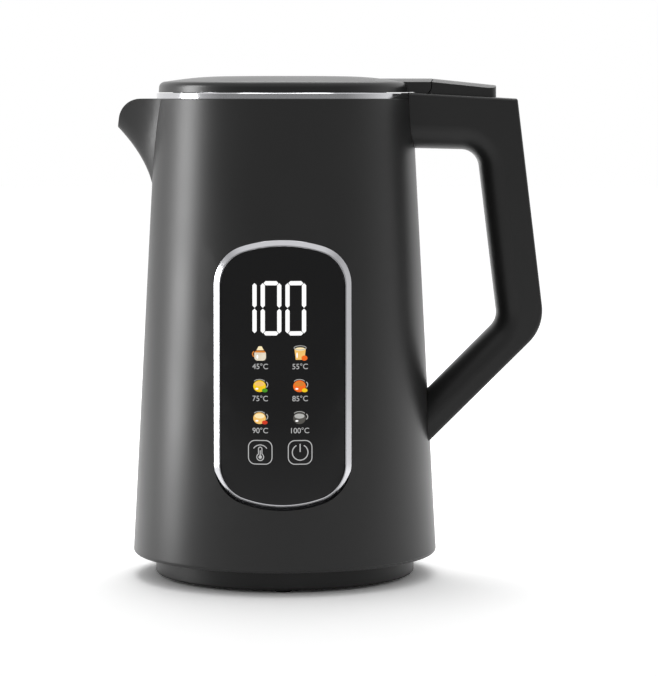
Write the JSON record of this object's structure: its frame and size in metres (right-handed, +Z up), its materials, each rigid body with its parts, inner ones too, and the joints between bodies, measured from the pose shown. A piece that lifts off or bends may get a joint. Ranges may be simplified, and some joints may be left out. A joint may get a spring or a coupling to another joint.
{
  "type": "cordless electric jug kettle",
  "caption": "Tall conical electric kettle with a beak spout, hinged lid, thumb button, angular handle and front touch display, standing on a round power base it lifts off and turns on.",
  "frame": {"origin": "on the table under the middle of the whole object's length and width", "axes": "+Z up, -X towards the spout, +X towards the handle, -Y towards the display's viewer"},
  "size_m": [0.2034, 0.1464, 0.2403],
  "materials": {
    "satin_black_shell": "fine satin moulding",
    "satin_black_lid": "fine satin moulding",
    "satin_black_handle": "fine satin moulding",
    "matte_black_base": "fine matt moulding",
    "polished_steel": "polished",
    "black_window": "high gloss",
    "drawn_steel": "drawn and brushed",
    "black_rubber": "matt",
    "grey_silicone": "matt",
    "contact_brass": "bright",
    "connector_plastic": "matt",
    "inner_plastic": "plain moulding",
    "screw_steel": "zinc plated",
    "spring_steel": "bright wire",
    "cast_aluminium": "as cast",
    "element_sheath": "drawn tube",
    "white_ceramic": "unglazed",
    "circuit_board": "solder resist",
    "relay_case": "smooth moulding",
    "cable_vinyl": "smooth",
    "display_light": "lit"
  },
  "bodies": {
    "base": {"base_cover": "matte_black_base", "base_floor": "matte_black_base", "base_feet": "black_rubber", "base_screws": "screw_steel", "base_connector": "connector_plastic", "base_contacts": "contact_brass", "cord_bushing": "black_rubber"},
    "socket": {"round_socket": "connector_plastic", "socket_pins": "contact_brass"},
    "kettle": {"outer_shell": "satin_black_shell", "handle_frame": "satin_black_handle", "handle_cover": "satin_black_handle", "rim_ring": "polished_steel", "panel_bezel": "polished_steel", "panel_window": "black_window", "inner_pot": "drawn_steel", "spout_strainer": "drawn_steel", "rim_seal": "grey_silicone", "spout_seal": "grey_silicone", "bottom_cover": "inner_plastic", "hinge_carrier": "inner_plastic", "bottom_screws": "screw_steel", "power_board_screws": "screw_steel", "board_screws": "screw_steel", "handle_screws": "screw_steel", "carrier_screws": "screw_steel", "hinge_pin": "screw_steel", "rocker_pin": "screw_steel", "lid_springs": "spring_steel", "button_spring": "spring_steel", "heating_plate": "cast_aluminium", "heating_element": "element_sheath", "temperature_probe": "element_sheath", "thermal_cutouts": "white_ceramic", "display_board": "circuit_board", "power_board": "circuit_board", "heater_relay": "relay_case", "ribbon_cable": "cable_vinyl", "element_leads": "cable_vinyl", "digit_module": "display_light", "icon_module": "display_light"},
    "lid": {"lid_cover": "satin_black_lid", "lid_pan": "drawn_steel", "lid_gasket": "grey_silicone", "lid_screws": "screw_steel"},
    "button": {"release_button": "satin_black_lid", "catch_clip": "spring_steel"}
  },
  "joints": [
    {"name": "lift", "type": "slide", "parent": "base", "child": "socket", "axis": [0, 0, 1], "range_m": [0, 0.06]},
    {"name": "swivel", "type": "hinge", "parent": "socket", "child": "kettle", "pos_m": [-0.0218, 0, 0], "axis": [0, 0, 1], "continuous": true},
    {"name": "lid_hinge", "type": "hinge", "parent": "kettle", "child": "lid", "pos_m": [0.0432, 0, 0.2359], "axis": [0, 1, 0], "range_deg": [0, 80], "deforming": ["lid_springs", "catch_clip"]},
    {"name": "button_rock", "type": "hinge", "parent": "kettle", "child": "button", "pos_m": [0.0543, 0, 0.2304], "axis": [0, 1, 0], "range_deg": [0, 6], "stiffness_Nm_per_rad": 1.2, "springref_deg": -2.86, "deforming": ["button_spring"]}
  ]
}
